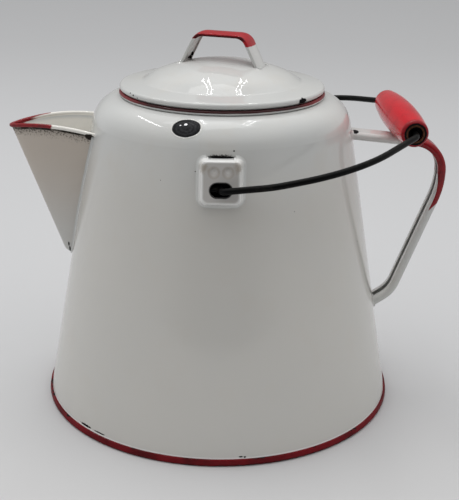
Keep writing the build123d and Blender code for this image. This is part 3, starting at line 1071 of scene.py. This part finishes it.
@dataclass(frozen=True)
class PaintedGrip:
    """Red lacquer on a turned wooden grip, worn to bare wood in its recessed ends, with painted shade in
    its bore.
    """

    centre: Point
    along: Point
    half: float = 50.0
    recess_radius: float = 4.8
    roughness: float = 0.15
    grain_depth: float = 0.03
    nick_depth: float = 0.2

    def build(self, name: str) -> bpy.types.Material:
        """Makes the material.

        Args:
            name: The material's name.

        Returns:
            The finished material.
        """
        sheet = NodeSheet.named(name)
        out, radius = self._out_radius(sheet)
        ragged = (sheet.noise(1.6, 3.0, 0.6) - 0.5) * 0.9
        rim = sheet.step(out, self.half - 1.2, self.half - 0.4)
        black_ring = rim * sheet.step(radius + ragged, self.recess_radius + 2.6, self.recess_radius + 2.0)
        # Painted shade: the bore is painted dark as the ground coat.
        shaded_bore = sheet.step(radius, self.recess_radius + 0.15, self.recess_radius - 0.05)
        black = sheet.largest(black_ring, shaded_bore)
        mouth = rim * sheet.step(radius + ragged * 0.5, self.recess_radius + 1.2, self.recess_radius + 0.9)
        grain = sheet.noise(1.3, 4.0, 0.6, (1.0, 0.06, 1.0))
        wood = sheet.mix(sheet.step(grain, 0.35, 0.65), Tint.BARE_WOOD, Tint.DARK_WOOD)
        dark = sheet.step(out, self.half - 5.5, self.half - 0.5)
        thin = sheet.step(sheet.noise(12.0, 3.0, 0.6), 0.42, 0.75)
        paint = sheet.mix(sheet.largest(dark * 0.85, thin * 0.30), Tint.GRIP_RED, Tint.DEEP_RED)
        nicks = sheet.specks(5.0, 0.30, 0.06)
        colour = sheet.mix(nicks, paint, wood)
        colour = sheet.mix(black, colour, Tint.GROUND_COAT_AND_SHADE)
        colour = sheet.mix(mouth, colour, wood)
        grained = sheet.bump(grain, self.grain_depth)
        return sheet.finish(
            {
                "Base Color": colour,
                "Roughness": thin * 0.06 + self.roughness,
                "Normal": sheet.bump(1.0 - nicks, self.nick_depth, grained),
            },
            {"IOR": 1.48, "Specular IOR Level": 0.25},
            black,
        )

    def _out_radius(self, sheet: NodeSheet) -> tuple[Value, Value]:
        """Measures from the grip's middle.

        Args:
            sheet: The material's node sheet.

        Returns:
            The distance along the grip's axis and the distance from it, in millimetres.
        """
        moved = sheet.moved(self.centre)
        along = sheet.vector_math("DOT_PRODUCT", moved, self.along).outputs["Value"]
        reach = Value(sheet, along) * PER_METRE
        length = Value(sheet, sheet.vector_math("LENGTH", moved).outputs["Value"]) * PER_METRE
        radius = sheet.math("SQRT", sheet.math("MAXIMUM", length * length - reach * reach, 0.0))
        return abs(reach), radius


@dataclass(frozen=True)
class PaleSurface:
    """The plain pale floor that the pot stands on, painted a little lighter close by as a painted light
    that lifts the pot's shadow, and darker far off.
    """

    near: float = -0.25
    middle: float = 0.1
    far: float = 1.6

    def build(self, name: str) -> bpy.types.Material:
        """Makes the material.

        Args:
            name: The material's name.

        Returns:
            The finished material.
        """
        sheet = NodeSheet.named(name)
        y = sheet.parts(sheet.place)[1]
        # Painted light: the floor is painted lighter close to the pot, where its shadow falls.
        colour = sheet.mix(sheet.step(y, self.middle, self.near), Tint.FLOOR, Tint.PAINTED_LIGHT_NEAR_FLOOR)
        colour = sheet.mix(sheet.step(y, self.middle, self.far), colour, Tint.FAR_FLOOR)
        return sheet.finish({"Base Color": colour}, {"Roughness": 0.75, "Specular IOR Level": 0.1})


@dataclass
class Dresser:
    """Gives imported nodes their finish."""

    nodes: dict[str, bpy.types.Object]

    def dress(self, node: str, finish: Any) -> None:
        """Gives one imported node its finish.

        Args:
            node: The node's name.
            finish: The finish, whose build method makes the material.
        """
        piece = self.nodes[node]
        piece.data.materials.clear()
        piece.data.materials.append(finish.build(f"{node}_finish"))
        LOG.info("%s dressed, %d faces", node, len(piece.data.polygons))


@dataclass
class GlazeBead:
    """The rounded fillet of glaze where one piece stands on another.

    The outline runs round the foot of the standing piece. Each of its points is cast along a
    direction onto the piece below, and the bead is a hollow fillet along the line that it hits.
    """

    name: str
    outline: list[Vector]
    cast: Vector
    radius: float = 1.5
    closed: bool = True
    sunk: float = 0.15
    behind: float = 0.45
    steps: int = 6

    def build(self, ground: BVHTree, finish: bpy.types.Material, body: str) -> None:
        """Adds the bead.

        Args:
            ground: The faces that the bead lies on.
            finish: The bead's material.
            body: The rigid body that carries it.
        """
        hits = [ground.ray_cast(point * MM, self.cast) for point in self.outline]
        feet = [(hit[0], hit[1]) for hit in hits if hit[0]]
        mesh = bmesh.new()
        self._skin(mesh, self._rows(mesh, feet))
        bmesh.ops.recalc_face_normals(mesh, faces=mesh.faces)
        data = bpy.data.meshes.new(self.name)
        mesh.to_mesh(data)
        mesh.free()
        data.polygons.foreach_set("use_smooth", [True] * len(data.polygons))
        data.materials.append(finish)
        piece = bpy.data.objects.new(self.name, data)
        bpy.context.scene.collection.objects.link(piece)
        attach(piece, body)
        LOG.info("%s laid, %d points", self.name, len(feet))

    def _rows(self, mesh: bmesh.types.BMesh, feet: list[tuple[Vector, Vector]]) -> list[list[Any]]:
        """Adds the corners of the bead's sections.

        Args:
            mesh: The mesh that takes them.
            feet: The points of the line that the bead lies on, each with the ground's direction there.

        Returns:
            One row of corners for each point.
        """
        middle = sum((place for place, _ in feet), Vector()) / len(feet)
        rows = []
        for index, (place, normal) in enumerate(feet):
            before, after = self._neighbours(index, len(feet))
            along = (feet[after][0] - feet[before][0]).normalized()
            away = along.cross(normal).normalized()
            if away.dot(place - middle) < 0.0:
                away.negate()
            rows.append([mesh.verts.new(point) for point in self._section(place, away, normal)])
        return rows

    def _skin(self, mesh: bmesh.types.BMesh, rows: list[list[Any]]) -> None:
        """Joins the rows of corners with faces, and closes both ends of an open bead.

        Args:
            mesh: The mesh that takes the faces.
            rows: The rows of corners.
        """
        last = len(rows) if self.closed else len(rows) - 1
        for index in range(last):
            first, second = rows[index], rows[(index + 1) % len(rows)]
            for corner in range(len(first)):
                beside = (corner + 1) % len(first)
                mesh.faces.new((first[corner], first[beside], second[beside], second[corner]))
        if not self.closed:
            mesh.faces.new(rows[0])
            mesh.faces.new(rows[-1][::-1])

    def _neighbours(self, index: int, count: int) -> tuple[int, int]:
        """Finds the points before and after one point of the line.

        Args:
            index: The point's place in the line.
            count: How many points the line has.

        Returns:
            The places of both; at the end of an open bead, one of them is the point itself.
        """
        if self.closed:
            return (index - 1) % count, (index + 1) % count
        return max(index - 1, 0), min(index + 1, count - 1)

    def _section(self, place: Vector, away: Vector, upward: Vector) -> list[Vector]:
        """Draws the bead's section at one point: a quarter hollow and its sunk corner.

        Args:
            place: The point on the ground.
            away: The direction away from the standing piece.
            upward: The direction off the ground.

        Returns:
            The section's corners.
        """
        size = self.radius * MM
        depth = self.sunk * MM
        behind = self.behind * MM
        points = []
        for step in range(self.steps + 1):
            turn = math.radians(90.0) * step / self.steps
            outward = size * (1.0 - math.sin(turn))
            rise = size * (1.0 - math.cos(turn))
            points.append(place + away * outward + upward * rise)
        points.append(place - away * behind + upward * size)
        points.append(place - away * behind - upward * depth)
        points.append(place + away * size - upward * depth)
        return points


@dataclass
class Pot:
    """The welded pot: body, foot, spout, side handle and the two ears, with their marks and glaze."""

    base_radius: float = 120.0
    wall_taper: float = 10.07
    ear_height: float = 175.6
    ear_size: Pair = (27.0, 28.8)
    ear_corner: float = 5.0
    slit_half: float = 7.4
    spout_foot: float = 98.0
    spout_top: float = 187.0
    spout_root: Pair = (3.6, 28.4)
    spout_rows: int = 30
    arm_height: float = 184.3
    arm_droop: float = 5.32
    foot_height: float = 64.2
    foot_rise: float = 33.7
    strap_size: Pair = (17.0, 5.4)
    strap_corner: float = 0.49
    strap_start: float = 12.0
    ear_bead: float = 1.5
    spout_bead: float = 1.3
    strap_bead: float = 1.1
    cast_room: float = 20.0
    ear_specks: tuple[Chip, ...] = (
        Chip((7.5, -85.3, 193.6), (0.5, 1.0, 0.5), 0.1, 2.0),
        Chip((-15.3, -87.2, 181.1), (0.55, 1.0, 0.55), 0.1, 2.0),
    )
    # Painted shade: a thin dark line on the wall where the front ear's slit is open.
    painted_slit_shade: Chip = Chip((0.0, -86.6, 189.9), (8.4, 3.0, 0.70), 0.12, 2.0)
    slit_soot: Chip = Chip((0.0, -86.0, 190.2), (9.5, 3.0, 2.1), 0.25, 1.3)
    # Painted shade on the wall inside each ear.
    painted_shade_behind_ears: tuple[Chip, ...] = (
        Chip((0.0, -89.3, 173.0), (9.5, 4.0, 8.5)),
        Chip((0.0, 89.3, 173.0), (9.5, 4.0, 8.5)),
    )
    foot_scratches: tuple[Chip, ...] = (
        Chip((-86.5, -82.0, 6.4), (5.2, 5.2, 0.75), 0.9, 1.1),
        Chip((-76.5, -91.2, 6.2), (5.4, 5.4, 0.42), 0.8, 1.4),
        Chip((14.6, -118.0, 6.1), (1.3, 2.0, 0.42), 0.7, 1.4),
        Chip((17.3, -117.6, 5.8), (0.8, 2.0, 0.5), 0.6, 1.4),
    )
    spout_scratches: tuple[Chip, ...] = (
        Chip((-104.8, -2.7, 103.8), (0.55, 1.6, 1.7), 0.4, 1.2),
        Chip((-104.2, -2.1, 99.9), (0.50, 1.6, 2.3), 0.4, 1.2),
    )
    arm_chip: Chip = Chip((88.6, -4.2, 186.9), (2.9, 4.2, 2.3), 0.35, 1.8)

    def _wall(self, height: float) -> float:
        """Returns the wall's radius at a height."""
        return self.base_radius - height * math.tan(math.radians(self.wall_taper))

    def dress(self, dresser: Dresser) -> None:
        """Dresses every welded piece and lays its glaze.

        Args:
            dresser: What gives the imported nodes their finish.
        """
        body = BodyEnamel(
            chips=(*self.ear_specks, *self.foot_scratches, self.painted_slit_shade),
            sooty=(self.slit_soot,),
            painted_shade_spots=self.painted_shade_behind_ears,
        )
        dresser.dress("pot_body", body)
        dresser.dress("bottom_pan", PanEnamel())
        dresser.dress("spout", SpoutEnamel(chips=self.spout_scratches))
        dresser.dress("side_handle", HandleEnamel(chips=(self.arm_chip,)))
        for ear in ("ear_front", "ear_back"):
            dresser.dress(ear, EarEnamel(wave=0.04))
        ground = ground_of(dresser.nodes["pot_body"])
        finish = Enamel(wave=0.0, speck_share=0.02).build("glaze_bead_finish")
        for bead in self._beads():
            bead.build(ground, finish, "pot")

    def _beads(self) -> list[GlazeBead]:
        """Plans the glaze round the ears, the spout and both ends of the handle.

        Returns:
            The beads, ready to be laid.
        """
        beads = []
        for name, side in (("ear_front_glaze", -1.0), ("ear_back_glaze", 1.0)):
            inward = Vector((0.0, -side, 0.0))
            beads.append(GlazeBead(name, self._ear_outline(side), inward, self.ear_bead, False))
        inward = Vector((1.0, 0.0, 0.0))
        beads.append(GlazeBead("spout_glaze", self._spout_outline(), inward, self.spout_bead, False))
        for name, height, slope in (
            ("handle_arm_glaze", self.arm_height, -self.arm_droop),
            ("handle_foot_glaze", self.foot_height, self.foot_rise),
        ):
            along = Vector((math.cos(math.radians(slope)), 0.0, math.sin(math.radians(slope))))
            beads.append(GlazeBead(name, self._strap_outline(height, along), -along, self.strap_bead))
        return beads

    def _ear_outline(self, side: float) -> list[Vector]:
        """Draws the ear's foot from one end of its slit round to the other, in front of the wall.

        Args:
            side: -1 for the front ear, 1 for the back one.

        Returns:
            The points, from which the bead is cast onto the wall.
        """
        lean = math.radians(self.wall_taper)
        across, tall = self.ear_size
        reach = self._wall(self.ear_height) + self.cast_room
        outline = rounded_rectangle(across, tall, self.ear_corner)
        slit = [i for i, (u, v) in enumerate(outline) if v > tall / 2 - 0.01 and abs(u) < self.slit_half]
        kept = outline[slit[-1] + 1 :] + outline[: slit[0]]
        return [Vector((u, side * reach, self.ear_height + v * math.cos(lean))) for u, v in kept]

    def _spout_outline(self) -> list[Vector]:
        """Draws the spout's foot, down one side, round the toe and up the other.

        Returns:
            The points, well outside the wall, from which the bead is cast onto it.
        """
        low, high = self.spout_root
        outside = -self.base_radius - 3.0 * self.cast_room
        near = []
        for row in range(self.spout_rows + 1):
            height = self.spout_top + (self.spout_foot - self.spout_top) * row / self.spout_rows
            share = (height - self.spout_foot) / (self.spout_top - self.spout_foot)
            near.append(Vector((outside, -(low + (high - low) * share), height)))
        toe = [
            Vector((outside, low * -math.cos(turn), self.spout_foot - low * 0.3 * math.sin(turn)))
            for turn in (math.radians(angle) for angle in (45, 90, 135))
        ]
        far = [Vector((point.x, -point.y, point.z)) for point in reversed(near)]
        return near + toe + far

    def _strap_outline(self, height: float, along: Vector) -> list[Vector]:
        """Draws the outline of the handle's strap at one end.

        Args:
            height: The height at which it meets the wall.
            along: The strap's direction there, away from the wall.

        Returns:
            The points, from which the bead is cast onto the wall.
        """
        across, deep = self.strap_size
        middle = Vector((self._wall(height), 0.0, height)) + along * self.strap_start
        up = Vector((-along.z, 0.0, along.x))
        return [
            middle + Vector((0.0, u, 0.0)) + up * v
            for u, v in rounded_rectangle(across, deep, deep * self.strap_corner)
        ]


@dataclass
class Bail:
    """The wire and its grip."""

    grip_centre: Point = (119.378, 2.498, 195.495)
    grip_along: Point = (-0.036959, 0.999291, -0.007119)

    def dress(self, dresser: Dresser) -> None:
        """Dresses the wire and the grip."""
        dresser.dress("bail_wire", DrawnWire())
        dresser.dress("bail_grip", PaintedGrip(self.grip_centre, self.grip_along))


@dataclass
class Lid:
    """The loose lid: dome, collar and strap."""

    strap_turn: float = -20.0
    strap_reach: float = 28.6
    strap_width: float = 16.0
    leg_depth: float = 2.8
    leg_corner: float = 0.6
    leg_bead: float = 0.9
    above_dome: float = 240.0
    rim_marks: tuple[Chip, ...] = (
        Chip((51.4, -46.2, 214.8), (4.2, 4.2, 3.1), 0.36, 2.0),
        Chip((-55.2, -38.0, 215.9), (0.9, 0.9, 0.7), 0.4, 1.0),
        Chip((-57.6, -34.5, 216.6), (0.5, 0.5, 0.5), 0.3, 1.0),
        Chip((-52.5, -42.0, 215.2), (0.5, 0.5, 0.4), 0.3, 1.0),
    )
    leg_marks: tuple[Chip, ...] = (
        Chip((-21.7, 13.6, 231.2), (1.6, 2.6, 1.6), 0.4, 1.6),
        Chip((-20.4, 14.6, 234.0), (1.2, 2.0, 1.6), 0.4, 1.6),
        Chip((-24.5, 6.0, 230.6), (1.8, 2.0, 1.2), 0.4, 1.6),
    )

    def dress(self, dresser: Dresser) -> None:
        """Dresses the lid's three pieces and lays the glaze round the strap's feet.

        Args:
            dresser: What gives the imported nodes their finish.
        """
        dresser.dress("lid_shell", LidEnamel(chips=self.rim_marks, gloss=0.04, peel=0.006, wave=0.06))
        dresser.dress("lid_collar", Enamel())
        dresser.dress("lid_handle", StrapEnamel(chips=self.leg_marks))
        ground = ground_of(dresser.nodes["lid_shell"])
        finish = Enamel(wave=0.0, speck_share=0.02).build("lid_glaze_finish")
        down = Vector((0.0, 0.0, -1.0))
        for name, side in (("strap_glaze_left", -1.0), ("strap_glaze_right", 1.0)):
            bead = GlazeBead(name, self._foot_outline(side), down, self.leg_bead)
            bead.build(ground, finish, "lid")

    def _foot_outline(self, side: float) -> list[Vector]:
        """Draws the outline of one foot of the strap, above the dome.

        Args:
            side: -1 for the left foot, 1 for the right one.

        Returns:
            The points, from which the bead is cast onto the dome.
        """
        turn = math.radians(self.strap_turn)
        out = Vector((math.cos(turn), math.sin(turn), 0.0)) * side
        across = Vector((-math.sin(turn), math.cos(turn), 0.0))
        middle = out * (self.strap_reach - self.leg_depth / 2.0)
        return [
            middle + across * u + out * v + Vector((0.0, 0.0, self.above_dome))
            for u, v in rounded_rectangle(self.strap_width, self.leg_depth, self.leg_corner)
        ]


@dataclass
class Lamp:
    """A rectangular lamp."""

    name: str
    place: Point
    aim: Point
    size: Pair
    power: float

    def build(self) -> None:
        """Adds the lamp to the scene, turned to its aim."""
        data = bpy.data.lights.new(self.name, "AREA")
        data.shape = "RECTANGLE"
        data.size, data.size_y = self.size
        data.energy = self.power
        lamp = bpy.data.objects.new(self.name, data)
        lamp.location = self.place
        towards = Vector(self.aim) - Vector(self.place)
        lamp.rotation_euler = towards.to_track_quat("-Z", "Y").to_euler()
        bpy.context.scene.collection.objects.link(lamp)


@dataclass(frozen=True)
class RoomLight:
    """The light of the room by direction: bright above, softer from the sides, dim in front."""

    front: float = 0.02
    above: float = 1.17
    sides: float = 0.50
    behind: float = 0.25

    def build(self, name: str) -> bpy.types.World:
        """Makes the world.

        Args:
            name: The world's name.

        Returns:
            The finished world.
        """
        world = bpy.data.worlds.new(name)
        sheet = NodeSheet(world)
        x, y, z = sheet.parts(sheet.add("ShaderNodeTexCoord").outputs["Generated"])
        top = sheet.step(z, 0.35, 0.90)
        flank = sheet.step(abs(x), 0.25, 0.85)
        back = sheet.step(y, 0.0, 0.8)
        low = 1.0 - top
        level = top * self.above + flank * self.sides * low + back * self.behind * low + self.front
        shade = sheet.add("ShaderNodeCombineColor", inputs={0: level, 1: level, 2: level})
        glow = sheet.add("ShaderNodeBackground", inputs={"Color": shade.outputs[0], "Strength": 1.0})
        sheet.add("ShaderNodeOutputWorld", inputs={"Surface": glow.outputs[0]})
        return world


@dataclass
class Studio:
    """The floor, the lamps and the camera at the photograph's view."""

    floor_corners: tuple[Pair, Pair] = ((-2.5, -0.8), (2.5, 7.0))
    camera_place: Point = (0.0, -0.68367, 0.35241)
    pitch: float = 20.279
    yaw: float = 0.555
    roll: float = 0.961
    lens: float = 75.18
    sensor: float = 36.0
    lamps: tuple[Lamp, ...] = (
        Lamp("soft_top", (-0.15, 0.25, 1.9), (0.0, 0.0, 0.1), (1.0, 1.0), 5.0),
        Lamp("tube_left", (-1.05, 0.55, 1.75), (-1.05, 0.55, 0.0), (0.03, 1.3), 2.6),
        Lamp("tube_middle_near", (-0.250, 0.85, 1.75), (-0.250, 0.85, 0.0), (0.010, 1.2), 0.8),
        Lamp("tube_middle_far", (-0.180, 0.85, 1.75), (-0.180, 0.85, 0.0), (0.010, 1.2), 0.8),
        Lamp("tube_right_near", (0.245, 0.85, 1.75), (0.245, 0.85, 0.0), (0.010, 1.2), 0.8),
        Lamp("tube_right_far", (0.315, 0.85, 1.75), (0.315, 0.85, 0.0), (0.010, 1.2), 0.8),
    )

    def build(self) -> None:
        """Adds the floor, the light and the camera."""
        self._floor()
        bpy.context.scene.world = RoomLight().build("room")
        for lamp in self.lamps:
            lamp.build()
        self._camera()
        bpy.context.scene.view_settings.view_transform = "Standard"

    def _floor(self) -> None:
        """Adds the plain floor."""
        mesh = bpy.data.meshes.new("floor")
        (left, front), (right, back) = self.floor_corners
        corners = [(left, front, 0.0), (right, front, 0.0), (right, back, 0.0), (left, back, 0.0)]
        mesh.from_pydata(corners, [], [(0, 1, 2, 3)])
        mesh.materials.append(PaleSurface().build("pale_floor"))
        floor = bpy.data.objects.new("floor", mesh)
        bpy.context.scene.collection.objects.link(floor)

    def _camera(self) -> None:
        """Adds the camera and makes it the scene's own."""
        pitch, yaw, roll = (math.radians(v) for v in (self.pitch, self.yaw, self.roll))
        ahead = Vector(
            (math.sin(yaw) * math.cos(pitch), math.cos(yaw) * math.cos(pitch), -math.sin(pitch))
        )
        level = ahead.cross(Vector((0.0, 0.0, 1.0))).normalized()
        upward = level.cross(ahead)
        right = level * math.cos(roll) + upward * math.sin(roll)
        up = upward * math.cos(roll) - level * math.sin(roll)
        data = bpy.data.cameras.new("photograph_view")
        data.sensor_width = self.sensor
        data.lens = self.lens
        camera = bpy.data.objects.new("photograph_view", data)
        turn = Matrix((right, up, -ahead)).transposed().to_4x4()
        camera.matrix_world = Matrix.Translation(self.camera_place) @ turn
        bpy.context.scene.collection.objects.link(camera)
        bpy.context.scene.camera = camera


def ground_of(piece: bpy.types.Object) -> BVHTree:
    """Returns a piece's faces in a tree that rays can be cast onto."""
    places = [vertex.co.copy() for vertex in piece.data.vertices]
    return BVHTree.FromPolygons(places, [tuple(face.vertices) for face in piece.data.polygons])


def rounded_rectangle(across: float, tall: float, corner: float) -> list[Pair]:
    """Returns points round a rectangle with rounded corners.

    Args:
        across: Its width.
        tall: Its height.
        corner: The corners' radius.

    Returns:
        The points, once round, spaced closely enough to follow a curved wall.
    """
    corners = [(1, 1, 0), (-1, 1, 90), (-1, -1, 180), (1, -1, 270)]
    points: list[Pair] = []
    for right, top, start in corners:
        middle = (right * (across / 2 - corner), top * (tall / 2 - corner))
        for step in range(CORNER_STEPS + 1):
            turn = math.radians(start + 90 / CORNER_STEPS * step)
            points.append((middle[0] + corner * math.cos(turn), middle[1] + corner * math.sin(turn)))
    dense: list[Pair] = []
    for (x1, y1), (x2, y2) in zip(points, points[1:] + points[:1]):
        count = max(1, round(math.hypot(x2 - x1, y2 - y1) / OUTLINE_SPACING))
        dense += [(x1 + (x2 - x1) * i / count, y1 + (y2 - y1) * i / count) for i in range(count)]
    return dense


def main() -> None:
    """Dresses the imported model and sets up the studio."""
    logging.basicConfig(level=logging.INFO, format="%(name)s: %(message)s")
    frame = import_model()
    dresser = Dresser(frame["nodes"])
    for assembly in (Pot(), Bail(), Lid()):
        assembly.dress(dresser)
    Studio().build()


if __name__ == "__main__":
    main()
